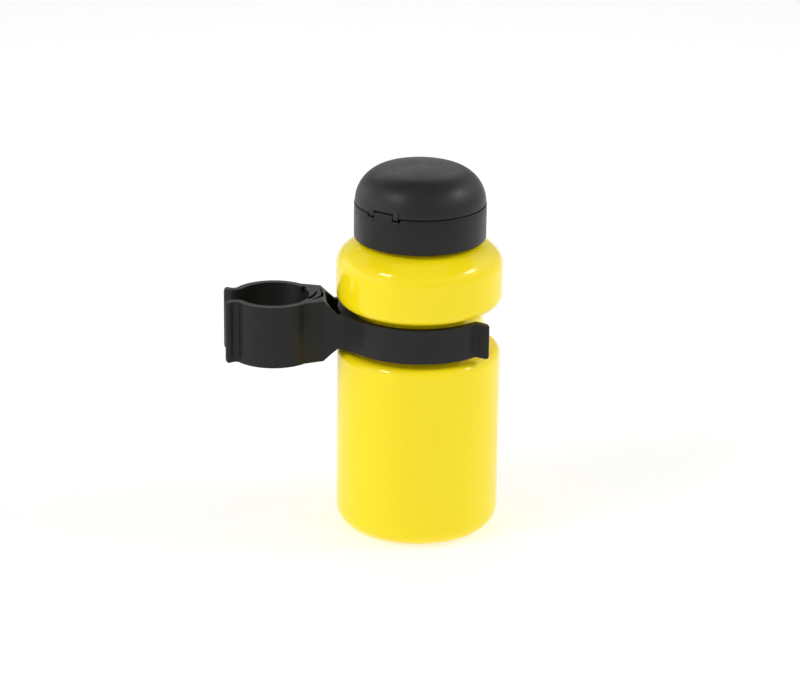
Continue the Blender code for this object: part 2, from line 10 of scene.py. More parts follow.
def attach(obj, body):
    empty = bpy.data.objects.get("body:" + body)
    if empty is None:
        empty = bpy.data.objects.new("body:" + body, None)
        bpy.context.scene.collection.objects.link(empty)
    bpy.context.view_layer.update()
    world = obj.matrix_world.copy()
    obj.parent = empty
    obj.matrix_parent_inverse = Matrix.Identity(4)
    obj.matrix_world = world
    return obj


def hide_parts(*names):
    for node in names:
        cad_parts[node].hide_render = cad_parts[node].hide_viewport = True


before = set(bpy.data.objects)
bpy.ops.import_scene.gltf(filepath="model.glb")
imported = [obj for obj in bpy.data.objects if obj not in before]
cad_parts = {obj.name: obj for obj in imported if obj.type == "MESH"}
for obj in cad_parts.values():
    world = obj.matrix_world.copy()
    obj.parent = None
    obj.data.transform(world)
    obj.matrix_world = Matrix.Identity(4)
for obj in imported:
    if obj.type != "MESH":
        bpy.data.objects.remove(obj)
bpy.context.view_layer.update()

MM = 0.001

# The same driving sizes as the CAD's, in millimetres.
BODY_RADIUS, BASE_CORNER = 33.0, 8.2
BODY_TOP, BODY_TOP_CORNER = 76.8, 3.2
WAIST_RADIUS = 26.0
BULGE_RADIUS, BULGE_BOTTOM, BULGE_BOTTOM_CORNER = 33.5, 95.1, 4.6
BULGE_TOP_CORNER, BULGE_TOP_CENTRE = 8.0, 111.1
SHOULDER_TURN, SHOULDER_CURVE, SHOULDER_TOP_RADIUS = 46.0, 24.0, 24.6
NECK_RADIUS, NECK_BORE, NECK_BOTTOM, NECK_TOP = 22.3, 20.3, 121.9, 134.0
BOTTLE_WALL = 1.5
BASE_PAD, BASE_FOOT_BORE, BASE_HOLLOW, BASE_SLOPE = 8.0, 21.0, 1.2, 1.4

THREAD_PITCH, THREAD_TURNS = 4.0, 1.5
NECK_THREAD_CREST, NECK_THREAD_START = 23.5, 125.2
CAP_THREAD_CREST, CAP_THREAD_START = 22.8, 127.2
THREAD_ROOT_HALF, THREAD_BEVEL_HALF, THREAD_CREST_HALF = 0.8, 0.52, 0.3
THREAD_BEVEL = 0.2  # how much of a ridge's height its bevels take up
THREAD_RUNOUT = 7  # steps over which a ridge grows out of the wall

COLLAR_RADIUS, COLLAR_BORE = 26.5, 24.6
COLLAR_BOTTOM, COLLAR_TOP, PLATE_BOTTOM = 122.7, 137.0, 135.4
LOCATOR_BORE, LOCATOR_RADIUS, LOCATOR_TOP = 20.8, 22.2, 138.4
RIM_START = 22.9  # from this radius outwards the collar's top changes round the hinge

FIT_GAP = 0.3
GASKET_BORE, GASKET_RADIUS = 19.6, 24.2

STEM_RADIUS, STEM_BORE, STEM_ROOF = 5.2, 3.3, 1.1
STEM_BOTTOM, STEM_TOP, STEM_FLANGE_RADIUS = 133.9, 144.7, 9.0
STEM_SHOULDER_RADIUS, STEM_SHOULDER_HEIGHT = 7.6, 0.9
STEM_HEAD_RADIUS, STEM_HEAD_BOTTOM = 5.9, 142.7
PLUG_RADIUS, PLUG_TOP = 2.0, 147.1
PORTS, PORT_RADIUS, PORT_CIRCLE = 3, 0.45, 2.75
PLATE_HOLE = STEM_RADIUS + FIT_GAP
SEAL_Z, SEAL_CIRCLE, SEAL_SECTION, SEAL_GROOVE = 143.7, 5.5, 0.42, 4.75

SPOUT_BOTTOM, SPOUT_TOP, SPOUT_CEILING = 138.6, 147.5, 145.1
SPOUT_BORE, SPOUT_LIP, SPOUT_HOLE = 6.2, 5.5, 2.4
SPOUT_FLANGE_RADIUS, SPOUT_WAIST_RADIUS, SPOUT_BEAD_RADIUS = 9.0, 7.4, 8.1

LID_RADIUS, LID_RIM, LID_CORNER, LID_CROWN, LID_WALL = 26.25, 137.3, 14.0, 60.0, 1.5
THUMB_REACH, THUMB_HEIGHT, THUMB_HALF_ANGLE = 1.3, 2.6, 13.2

HINGE_AZIMUTH = -129.5  # degrees
HINGE_RADIUS, HINGE_Z = 24.9, 137.4
KNUCKLE_RADIUS, EAR_RADIUS, PIN_RADIUS, PIN_HALF = 1.2, 1.15, 0.5, 6.4
TONGUE_ANGLE, EAR_START, EAR_END, SLOT_ANGLE = 9.4, 10.1, 14.6, 17.1  # degrees either side
COLLAR_SLOT_FLOOR, COLLAR_SLOT_BORE, TONGUE_FLAT_FLOOR = 135.95, 23.2, 135.3
LID_SLOT_TOP = 139.1
LID_EDGE = LID_SLOT_TOP + 1.4  # above here the lid is the same all round

TUBE_X = -58.6
RING_RADIUS, RING_BORE, RING_HEIGHT = 17.0, 14.3, 25.5
WALL_JOIN = 12.35
LIP_LEAVE, LIP_BEND, LIP_FLARE, LIP_STRAIGHT = radians(34), 3.4, radians(35), 0.8
BAND_RADIUS, BAND_BORE, BAND_HEIGHT = 31.6, 28.9, 14.0
HOLDER_Z = 86.3
NECK_CORNER = (-39.2, 9.8)
RING_TIP_X, BAND_TIP_X, TIP_CORNER = -78.3, 25.8, 1.3

CEILING = 0.065  # brightness of the world overhead, as a part of its strength
DIFFUSER_RISE, DIFFUSER_FALL = (0.33, 0.39), (0.68, 0.74)  # heights where diffusers fade in and out
LIGHT_DISTANCE, LIGHT_AIM = 1.1, 0.09  # metres: from the bottle, and how high up it they point
ROUND_STEP = 2.5  # degrees between the edges of a turned piece
SHARP = radians(33)
BEYOND = 3.0  # how far a cutter runs past what it cuts


# --- mesh helpers -------------------------------------------------------------------------


class Shape:
    """Collects faces in millimetres, making points that coincide one vertex."""

    def __init__(self):
        self.points = []
        self.index = {}
        self.faces = []

    def vertex(self, point):
        key = tuple(round(c * 1e5) for c in point)
        if key not in self.index:
            self.index[key] = len(self.points)
            self.points.append(Vector(point) * MM)
        return self.index[key]

    def face(self, corners):
        ids = [self.vertex(p) for p in corners]
        ids = [v for k, v in enumerate(ids) if v != ids[k - 1]]
        if len(set(ids)) > 2:
            self.faces.append(ids)

    def finish(self, name, bevel=0.0):
        mesh = bpy.data.meshes.new(name)
        mesh.from_pydata(self.points, [], self.faces)
        work = bmesh.new()
        work.from_mesh(mesh)
        bmesh.ops.recalc_face_normals(work, faces=work.faces)
        if work.calc_volume(signed=True) < 0:
            bmesh.ops.reverse_faces(work, faces=work.faces)
        work.to_mesh(mesh)
        work.free()
        obj = bpy.data.objects.new(name, mesh)
        bpy.context.scene.collection.objects.link(obj)
        smooth(obj)
        if bevel:
            add_bevel(obj, bevel)
        return obj


def smooth(obj):
    obj.data.shade_smooth()
    obj.data.set_sharp_from_angle(angle=SHARP)


def add_bevel(obj, width, segments=2):
    modifier = obj.modifiers.new("edges", "BEVEL")
    modifier.width = width * MM
    modifier.segments = segments
    modifier.limit_method = "ANGLE"
    modifier.angle_limit = radians(40)
    modifier.miter_outer = "MITER_ARC"
    modifier.harden_normals = True


def boolean(target, other, operation):
    modifier = target.modifiers.new(operation.lower(), "BOOLEAN")
    modifier.operation = operation
    modifier.solver = "EXACT"
    modifier.object = other


def apply_modifiers(obj, helpers=()):
    """Bakes an object's modifiers into its mesh and removes the shapes that they used."""
    graph = bpy.context.evaluated_depsgraph_get()
    mesh = bpy.data.meshes.new_from_object(obj.evaluated_get(graph))
    obj.modifiers.clear()
    old = obj.data
    obj.data = mesh
    bpy.data.meshes.remove(old)
    for helper in helpers:
        bpy.data.objects.remove(helper, do_unlink=True)


def arc(a, b, radius, start, end, step=11.25):
    count = max(1, ceil(abs(end - start) / step))
    angles = [radians(start + (end - start) * k / count) for k in range(count + 1)]
    return [(a + radius * cos(t), b + radius * sin(t)) for t in angles]


def rounded(corners, step=22.5, closed=True):
    """Turns (a, b, radius) corners into an outline whose corners are arcs of that radius."""
    outline = []
    count = len(corners)
    for k, (a, b, radius) in enumerate(corners):
        here = Vector((a, b))
        if not radius or (not closed and k in (0, count - 1)):
            outline.append((a, b))
            continue
        back = Vector(corners[k - 1][:2]) - here
        on = Vector(corners[(k + 1) % count][:2]) - here
        half = back.angle(on) / 2
        reach = min(radius / tan(half), 0.49 * back.length, 0.49 * on.length)
        true_radius = reach * tan(half)
        inwards = (back.normalized() + on.normalized()).normalized()
        centre = here + inwards * (true_radius / sin(half))
        first = here + back.normalized() * reach - centre
        last = here + on.normalized() * reach - centre
        turn = first.angle_signed(last)
        pieces = max(1, ceil(abs(degrees(turn)) / step))
        for i in range(pieces + 1):
            outline.append(tuple(centre + Matrix.Rotation(-turn * i / pieces, 2) @ first))
    return outline


def at_angle(profile, angle):
    return [(r * cos(radians(angle)), r * sin(radians(angle)), z) for r, z in profile]


def turned(name, profile, step=ROUND_STEP, bevel=0.0):
    """Turns a closed (radius, height) outline all the way round Z."""
    shape = Shape()
    count = round(360 / step)
    rings = [at_angle(profile, 360 * k / count) for k in range(count)]
    for here, there in zip(rings, rings[1:] + rings[:1]):
        join_rings(shape, here, there)
    return shape.finish(name, bevel)


def join_rings(shape, here, there):
    for k in range(len(here)):
        shape.face([here[k - 1], here[k], there[k], there[k - 1]])


def turned_in_sectors(name, sectors, centre, bevel):
    """Turns a part whose profile changes from sector to sector.

    sectors: (first angle, last angle, profile as a function of the angle), degrees from centre,
    in order and closing on themselves. Two neighbours share their first and last points, and
    the flat wall between them is one face.
    """
    shape = Shape()
    for first, last, profile in sectors:
        count = max(1, ceil((last - first) / ROUND_STEP))
        angles = [first + (last - first) * k / count for k in range(count + 1)]
        rings = [at_angle(profile(a), centre + a) for a in angles]
        for here, there in zip(rings, rings[1:]):
            join_rings(shape, here, there)
    for k, (first, _, profile) in enumerate(sectors):
        before = sectors[k - 1][2]
        one = at_angle(before(first), centre + first)
        other = at_angle(profile(first), centre + first)
        shared = set(one) & set(other)
        wall = between(one, shared) + between(other, shared)[::-1][1:-1]
        shape.face(wall)
    return shape.finish(name, bevel)


def between(points, shared):
    """The run of points that aren't shared, with the shared point at each end."""
    own = [k for k, p in enumerate(points) if p not in shared]
    return points[own[0] - 1 : own[-1] + 2]


def prism(name, outline, low, high):
    shape = Shape()
    bottom = [(x, y, low) for x, y in outline]
    top = [(x, y, high) for x, y in outline]
    join_rings(shape, bottom, top)
    shape.face(bottom)
    shape.face(top)
    return shape.finish(name)


def joined(name, parts):
    """One object from several, with their meshes in it as they are."""
    work = bmesh.new()
    for part in parts:
        work.from_mesh(part.data)
    mesh = bpy.data.meshes.new(name)
    work.to_mesh(mesh)
    work.free()
    for part in parts:
        bpy.data.objects.remove(part, do_unlink=True)
    obj = bpy.data.objects.new(name, mesh)
    bpy.context.scene.collection.objects.link(obj)
    smooth(obj)
    return obj


# --- node material helpers ----------------------------------------------------------------


class Surface:
    """A Principled material and the few node patterns that the plastics share."""

    def __init__(self, name):
        self.material = bpy.data.materials.new(name)
        self.material.use_nodes = True
        self.tree = self.material.node_tree
        self.shader = self.tree.nodes["Principled BSDF"]
        self.place = self.add("ShaderNodeTexCoord").outputs["Object"]

    def add(self, kind, **settings):
        node = self.tree.nodes.new(kind)
        for key, value in settings.items():
            setattr(node, key, value)
        return node

    def link(self, source, target):
        self.tree.links.new(source, target)

    def noise(self, scale, detail=3.0, roughness=0.5, stretch=(1, 1, 1)):
        """Noise from 0 to 1; scale is in waves per metre."""
        mapping = self.add("ShaderNodeMapping")
        mapping.inputs["Scale"].default_value = stretch
        self.link(self.place, mapping.inputs["Vector"])
        node = self.add("ShaderNodeTexNoise")
        node.inputs["Scale"].default_value = scale
        node.inputs["Detail"].default_value = detail
        node.inputs["Roughness"].default_value = roughness
        self.link(mapping.outputs["Vector"], node.inputs["Vector"])
        return node.outputs["Fac"]

    def ranged(self, value, low, high, from_low=0.3, from_high=0.7):
        node = self.add("ShaderNodeMapRange")
        node.inputs["From Min"].default_value = from_low
        node.inputs["From Max"].default_value = from_high
        node.inputs["To Min"].default_value = low
        node.inputs["To Max"].default_value = high
        self.link(value, node.inputs["Value"])
        return node.outputs["Result"]

    def mixed(self, amount, one, other):
        node = self.add("ShaderNodeMix", data_type="RGBA")
        self.link(amount, node.inputs["Factor"])
        node.inputs["A"].default_value = (*one, 1)
        node.inputs["B"].default_value = (*other, 1)
        return node.outputs["Result"]

    def sum(self, one, other):
        node = self.add("ShaderNodeMath", operation="ADD")
        self.link(one, node.inputs[0])
        self.link(other, node.inputs[1])
        return node.outputs["Value"]

    def line_at(self, height, half_width):
        """1 on a level line round the part, falling to 0 at half_width; heights in metres."""
        split = self.add("ShaderNodeSeparateXYZ")
        self.link(self.place, split.inputs["Vector"])
        away = self.add("ShaderNodeMath", operation="SUBTRACT")
        self.link(split.outputs["Z"], away.inputs[0])
        away.inputs[1].default_value = height
        size = self.add("ShaderNodeMath", operation="ABSOLUTE")
        self.link(away.outputs["Value"], size.inputs[0])
        return self.ranged(size.outputs["Value"], 1.0, 0.0, 0.0, half_width)

    def bump(self, height, distance, strength=1.0):
        node = self.add("ShaderNodeBump")
        node.inputs["Distance"].default_value = distance
        node.inputs["Strength"].default_value = strength
        self.link(height, node.inputs["Height"])
        self.link(node.outputs["Normal"], self.shader.inputs["Normal"])

    def colour(self, source):
        self.link(source, self.shader.inputs["Base Color"])

    def roughness(self, source):
        self.link(source, self.shader.inputs["Roughness"])


def yellow_polyethylene():
    """Blown polyethylene: glossy, a little cloudy, with the faint ripple of blow moulding."""
    surface = Surface("yellow_polyethylene")
    clouds = surface.ranged(surface.noise(28, 2.0, 0.5, (1, 1, 0.35)), 0, 1)
    surface.colour(surface.mixed(clouds, (0.965, 0.745, 0.004), (0.98, 0.77, 0.006)))
    surface.roughness(surface.ranged(surface.noise(160, 3.0), 0.11, 0.17))
    ripple = surface.ranged(surface.noise(65, 1.0, 0.4, (1, 1, 0.3)), 0, 1)
    peel = surface.ranged(surface.noise(900, 2.0), 0, 0.12)
    surface.bump(surface.sum(ripple, peel), 0.00001)
    surface.shader.inputs["IOR"].default_value = 1.5
    surface.shader.inputs["Specular IOR Level"].default_value = 0.38
    surface.shader.inputs["Subsurface Weight"].default_value = 0.12
    surface.shader.inputs["Subsurface Radius"].default_value = (1.0, 0.7, 0.1)
    surface.shader.inputs["Subsurface Scale"].default_value = 0.003
    return surface.material


def black_polypropylene(name, rough, specular, parting_height=None):
    """Moulded polypropylene: satin, with a fine grain, rub marks and a mould parting line."""
    surface = Surface(name)
    clouds = surface.ranged(surface.noise(90, 4.0, 0.6), 0, 1)
    surface.colour(surface.mixed(clouds, (0.0085, 0.0089, 0.0087), (0.0115, 0.0119, 0.0115)))
    rubbed = surface.noise(240, 4.0, 0.65)
    surface.roughness(surface.ranged(rubbed, rough - 0.04, rough + 0.05))
    grain = surface.ranged(surface.noise(3200, 2.0), 0, 0.2)
    flow = surface.ranged(surface.noise(45, 1.0), 0, 1)
    height = surface.sum(grain, flow)
    if parting_height is not None:
        height = surface.sum(height, surface.line_at(parting_height, 0.00013))
    surface.bump(height, 0.00004)
    surface.shader.inputs["IOR"].default_value = 1.49
    surface.shader.inputs["Specular IOR Level"].default_value = specular
    return surface.material


def soft_plastic(name, dark, light, rough):
    surface = Surface(name)
    surface.colour(surface.mixed(surface.ranged(surface.noise(120, 3.0), 0, 1), dark, light))
    surface.roughness(surface.ranged(surface.noise(500, 3.0), rough - 0.05, rough + 0.06))
    surface.bump(surface.noise(2500, 2.0), 0.00001)
    surface.shader.inputs["IOR"].default_value = 1.5
    return surface.material


def floor_paper():
    surface = Surface("floor_paper")
    surface.colour(surface.mixed(surface.noise(40, 4.0), (0.60, 0.60, 0.60), (0.63, 0.63, 0.63)))
    surface.shader.inputs["Roughness"].default_value = 0.95
    surface.shader.inputs["Specular IOR Level"].default_value = 0.1
    surface.shader.inputs["Emission Color"].default_value = (1, 1, 1, 1)
    surface.shader.inputs["Emission Strength"].default_value = 0.5
    return surface.material


# --- bottle -------------------------------------------------------------------------------


def shoulder(inset, top_radius, step):
    """Points from the bulge's side over its corner and a gentler curve, inset from the outside."""
    turn = radians(SHOULDER_TURN)
    back = SHOULDER_CURVE - BULGE_TOP_CORNER
    centre = BULGE_RADIUS - BULGE_TOP_CORNER
    points = arc(centre, BULGE_TOP_CENTRE, BULGE_TOP_CORNER - inset, 0, SHOULDER_TURN, step)
    curve = SHOULDER_CURVE - inset
    centre -= back * cos(turn)
    height = BULGE_TOP_CENTRE - back * sin(turn)
    end = degrees(acos((top_radius - centre) / curve))
    return points + arc(centre, height, curve, SHOULDER_TURN, end, step / 2)[1:]


def base_profile():
    """The underside: a middle pad, a shallow ring-shaped hollow and the foot."""
    pad = [(0, 0, 0), (BASE_PAD, 0, 0.8), (BASE_PAD + BASE_SLOPE, BASE_HOLLOW, 0.9)]
    foot = [(BASE_FOOT_BORE - BASE_SLOPE, BASE_HOLLOW, 0.9), (BASE_FOOT_BORE, 0, 0.8)]
    return rounded(pad + foot + [(BODY_RADIUS - BASE_CORNER, 0, 0)], 15, closed=False)[:-1]


def waist_profile():
    corners = [
        (BODY_RADIUS - BODY_TOP_CORNER, BODY_TOP, 0),
        (WAIST_RADIUS, BODY_TOP + 0.6, 1.2),
        (WAIST_RADIUS, BULGE_BOTTOM - 0.4, 1.2),
        (BULGE_RADIUS - BULGE_BOTTOM_CORNER, BULGE_BOTTOM, 0),
    ]
    return rounded(corners, 15, closed=False)[1:-1]


def neck_profile(outer_end, inner_end):
    """From the top of the shoulder, over the neck's rim, to the inside of the shoulder."""
    corners = [
        (*outer_end, 0),
        (NECK_RADIUS, NECK_BOTTOM, 0.8),
        (NECK_RADIUS, NECK_TOP, 0.5),
        (NECK_BORE, NECK_TOP, 0.5),
        (*inner_end, 0),
    ]
    return rounded(corners, 15, closed=False)[1:-1]


def bottle_profile():
    """Closed (radius, height) outline: up the outside, over the rim and down the inside."""
    wall = BOTTLE_WALL
    base = (BODY_RADIUS - BASE_CORNER, BASE_CORNER)
    top = (BODY_RADIUS - BODY_TOP_CORNER, BODY_TOP - BODY_TOP_CORNER)
    low = (BULGE_RADIUS - BULGE_BOTTOM_CORNER, BULGE_BOTTOM + BULGE_BOTTOM_CORNER)
    points = base_profile()
    points += arc(*base, BASE_CORNER, -90, 0, 6)
    points += arc(*top, BODY_TOP_CORNER, 0, 90, 7.5)
    points += waist_profile()
    points += arc(*low, BULGE_BOTTOM_CORNER, -90, 0, 6)
    outer = shoulder(0, SHOULDER_TOP_RADIUS, 5)
    inner = shoulder(wall, NECK_BORE, 12)[::-1]
    points += outer + neck_profile(outer[-1], inner[0]) + inner
    points += arc(*low, BULGE_BOTTOM_CORNER - wall, 0, -90, 15)
    points += [(WAIST_RADIUS - wall, BULGE_BOTTOM + wall), (WAIST_RADIUS - wall, BODY_TOP - wall)]
    points += arc(*top, BODY_TOP_CORNER - wall, 90, 0, 22.5)
    points += arc(*base, BASE_CORNER - wall, 0, -90, 11.25)
    points += [(BASE_FOOT_BORE, wall), (BASE_FOOT_BORE - BASE_SLOPE, BASE_HOLLOW + wall)]
    points += [(BASE_PAD + BASE_SLOPE, BASE_HOLLOW + wall), (BASE_PAD, wall), (0, wall)]
    return points


def thread(name, root, crest, start):
    """A helical ridge with bevelled shoulders that grows out of the wall and sinks back."""
    least = 0.02  # of the full height, so that a ridge's end faces don't vanish
    step = 5
    count = round(360 * THREAD_TURNS / step)
    shape = Shape()
    sections = []
    for k in range(count + 1):
        angle = radians(k * step)
        grown = min(1.0, min(k, count - k) / THREAD_RUNOUT)
        tip = root + (crest - root) * (least + (1 - least) * grown * (2 - grown))
        bevel = tip - (tip - root) * THREAD_BEVEL
        z = start + THREAD_PITCH * k * step / 360
        upper = [(root, THREAD_ROOT_HALF), (bevel, THREAD_BEVEL_HALF), (tip, THREAD_CREST_HALF)]
        section = [(r, -rise) for r, rise in upper] + upper[::-1]
        sections.append([(r * cos(angle), r * sin(angle), z + rise) for r, rise in section])
    for here, there in zip(sections, sections[1:]):
        join_rings(shape, here, there)
    shape.face(sections[0])
    shape.face(sections[-1])
    return shape.finish(name)


def build_bottle():
    shell = turned("shell", bottle_profile())
    ridge = thread("ridge", NECK_RADIUS - 0.3, NECK_THREAD_CREST, NECK_THREAD_START)
    return joined("bottle_shell", [shell, ridge])


# --- cap ----------------------------------------------------------------------------------


def collar_head():
    """The collar's profile below and inside the part that the hinge changes."""
    return [
        (COLLAR_RADIUS, TONGUE_FLAT_FLOOR - 1.3),
        (COLLAR_RADIUS, COLLAR_BOTTOM + 0.6),
        (COLLAR_RADIUS - 0.08, COLLAR_BOTTOM + 0.25),
        (COLLAR_RADIUS - 0.3, COLLAR_BOTTOM + 0.05),
        (COLLAR_RADIUS - 0.55, COLLAR_BOTTOM),
        (COLLAR_BORE + 0.5, COLLAR_BOTTOM),
        (COLLAR_BORE + 0.15, COLLAR_BOTTOM + 0.12),
        (COLLAR_BORE, COLLAR_BOTTOM + 0.5),
        (COLLAR_BORE, PLATE_BOTTOM - 0.8),
        (COLLAR_BORE - 0.25, PLATE_BOTTOM - 0.2),
        (COLLAR_BORE - 0.8, PLATE_BOTTOM),
        (PLATE_HOLE, PLATE_BOTTOM),
        (PLATE_HOLE, COLLAR_TOP - 0.15),
        (PLATE_HOLE + 0.15, COLLAR_TOP),
        (LOCATOR_BORE - 0.4, COLLAR_TOP),
        (LOCATOR_BORE - 0.1, COLLAR_TOP + 0.12),
        (LOCATOR_BORE, COLLAR_TOP + 0.4),
        (LOCATOR_BORE, LOCATOR_TOP - 0.2),
        (LOCATOR_BORE + 0.2, LOCATOR_TOP),
        (LOCATOR_RADIUS - 0.3, LOCATOR_TOP),
        (LOCATOR_RADIUS, LOCATOR_TOP - 0.3),
        (LOCATOR_RADIUS, COLLAR_TOP + 0.3),
        (LOCATOR_RADIUS + 0.25, COLLAR_TOP),
    ]


def collar_plain(_):
    rim = [(RIM_START, COLLAR_TOP)]
    rim += arc(COLLAR_RADIUS - 0.3, COLLAR_TOP - 0.3, 0.3, 90, 0, 22.5)
    return collar_head() + rim


def collar_slot(_):
    rim = [
        (RIM_START, COLLAR_TOP),
        (COLLAR_SLOT_BORE, COLLAR_TOP),
        (COLLAR_SLOT_BORE, COLLAR_SLOT_FLOOR),
        (COLLAR_RADIUS, COLLAR_SLOT_FLOOR),
    ]
    return collar_head() + rim


def collar_tongue(angle):
    """Between the ears: a flat on the wall, and the tongue that the pin goes through."""
    lean = cos(radians(angle))
    knuckle = arc(HINGE_RADIUS, HINGE_Z, KNUCKLE_RADIUS, 180, 12, 14)
    face = (HINGE_RADIUS + KNUCKLE_RADIUS - 0.03) / lean
    rim = [(RIM_START, COLLAR_TOP), ((HINGE_RADIUS - KNUCKLE_RADIUS) / lean, COLLAR_TOP)]
    rim += [(r / lean, z) for r, z in knuckle]
    rim += [(face, TONGUE_FLAT_FLOOR + 0.3), (COLLAR_RADIUS, TONGUE_FLAT_FLOOR - 1.1)]
    return collar_head() + rim


def build_collar():
    sectors = [
        (-TONGUE_ANGLE, TONGUE_ANGLE, collar_tongue),
        (TONGUE_ANGLE, SLOT_ANGLE, collar_slot),
        (SLOT_ANGLE, 360 - SLOT_ANGLE, collar_plain),
        (360 - SLOT_ANGLE, 360 - TONGUE_ANGLE, collar_slot),
    ]
    shell = turned_in_sectors("shell", sectors, HINGE_AZIMUTH, 0.12)
    apply_modifiers(shell)
    ridge = thread("ridge", COLLAR_BORE + 0.3, CAP_THREAD_CREST, CAP_THREAD_START)
    return joined("screw_collar", [shell, ridge])


def lid_arc(inset, from_z, step):
    """(radius, height) points from the lid's axis out and down to a height near its rim."""
    corner = LID_CORNER - inset
    crown = LID_CROWN - inset
    across = LID_RADIUS - LID_CORNER
    lift = sqrt((LID_CROWN - LID_CORNER) ** 2 - across**2)
    meet = degrees(atan2(lift, across))
    crown_step = 1.5
    points = [(0, LID_RIM - lift + crown)]
    points += arc(0, LID_RIM - lift, crown, 90 - crown_step, meet, crown_step)
    low = degrees(asin((from_z - LID_RIM) / corner))
    points += arc(across, LID_RIM, corner, meet - step, low, step)
    return points


def lid_radius(inset, z):
    corner = LID_CORNER - inset
    return LID_RADIUS - LID_CORNER + sqrt(corner**2 - (z - LID_RIM) ** 2)


def lid_above():
    return lid_arc(0, LID_EDGE, 5), lid_arc(LID_WALL, LID_EDGE, 7)[::-1]


def lid_plain(_):
    outer, inner = lid_above()
    steps = (1.0, 0.5, 0.15)
    rim = [(lid_radius(0, LID_RIM + up * 1.6), LID_RIM + up * 1.6) for up in steps]
    rim += [(LID_RADIUS - 0.08, LID_RIM + 0.08), (LID_RADIUS - 0.25, LID_RIM)]
    rim += [(LID_RADIUS - LID_WALL + 0.2, LID_RIM), (LID_RADIUS - LID_WALL, LID_RIM + 0.2)]
    return outer + rim + inner


def lid_slot(_):
    outer, inner = lid_above()
    rim = [(lid_radius(inset, LID_SLOT_TOP), LID_SLOT_TOP) for inset in (0, LID_WALL)]
    return outer + rim + inner


def lid_ear(angle):
    """An ear hangs below the rim, round the pin."""
    lean = cos(radians(angle))
    outer, inner = lid_above()
    rim = [((HINGE_RADIUS + EAR_RADIUS * 0.8) / lean, HINGE_Z + 1.6)]
    rim += [(r / lean, z) for r, z in arc(HINGE_RADIUS, HINGE_Z, EAR_RADIUS, 20, -180, 20)]
    rim += [((HINGE_RADIUS - EAR_RADIUS) / lean, HINGE_Z + 2.2)]
    return outer + rim + inner


def lid_thumb(_):
    """The lip that a thumb pushes up, opposite the hinge."""
    outer, inner = lid_above()
    reach = LID_RADIUS + THUMB_REACH
    rim = [
        (lid_radius(0, LID_RIM + THUMB_HEIGHT + 0.3), LID_RIM + THUMB_HEIGHT + 0.3),
        (reach - 0.5, LID_RIM + THUMB_HEIGHT - 0.2),
        (reach - 0.1, LID_RIM + THUMB_HEIGHT - 0.6),
        (reach, LID_RIM + THUMB_HEIGHT - 1.1),
        (reach, LID_RIM + 0.5),
        (reach - 0.2, LID_RIM + 0.25),
        (LID_RADIUS + 0.1, LID_RIM + 0.2),
        (LID_RADIUS - 0.2, LID_RIM),
        (LID_RADIUS - LID_WALL + 0.2, LID_RIM),
        (LID_RADIUS - LID_WALL, LID_RIM + 0.2),
    ]
    return outer + rim + inner


def build_lid():
    thumb = THUMB_HALF_ANGLE
    sectors = [
        (-EAR_START, EAR_START, lid_slot),
        (EAR_START, EAR_END, lid_ear),
        (EAR_END, 180 - thumb, lid_plain),
        (180 - thumb, 180 + thumb, lid_thumb),
        (180 + thumb, 360 - EAR_END, lid_plain),
        (360 - EAR_END, 360 - EAR_START, lid_ear),
    ]
    lid = turned_in_sectors("dome_lid", sectors, HINGE_AZIMUTH, 0.12)
    apply_modifiers(lid)
    return lid


def build_pin():
    corners = [
        (0, -PIN_HALF, 0),
        (PIN_RADIUS, -PIN_HALF, 0.15),
        (PIN_RADIUS, PIN_HALF, 0.15),
        (0, PIN_HALF, 0),
    ]
    pin = turned("lid_pin", rounded(corners, 30), 15)
    lay = Matrix.Rotation(-pi / 2, 4, "X")
    turn = Matrix.Rotation(radians(HINGE_AZIMUTH), 4, "Z")
    move = Matrix.Translation(Vector((HINGE_RADIUS, 0, HINGE_Z)) * MM)
    pin.data.transform(turn @ move @ lay)
    return pin


def build_gasket():
    low, high = NECK_TOP + FIT_GAP, PLATE_BOTTOM - FIT_GAP
    around = ((GASKET_BORE, low), (GASKET_RADIUS, low), (GASKET_RADIUS, high), (GASKET_BORE, high))
    return turned("neck_gasket", rounded([(r, z, 0.2) for r, z in around]))


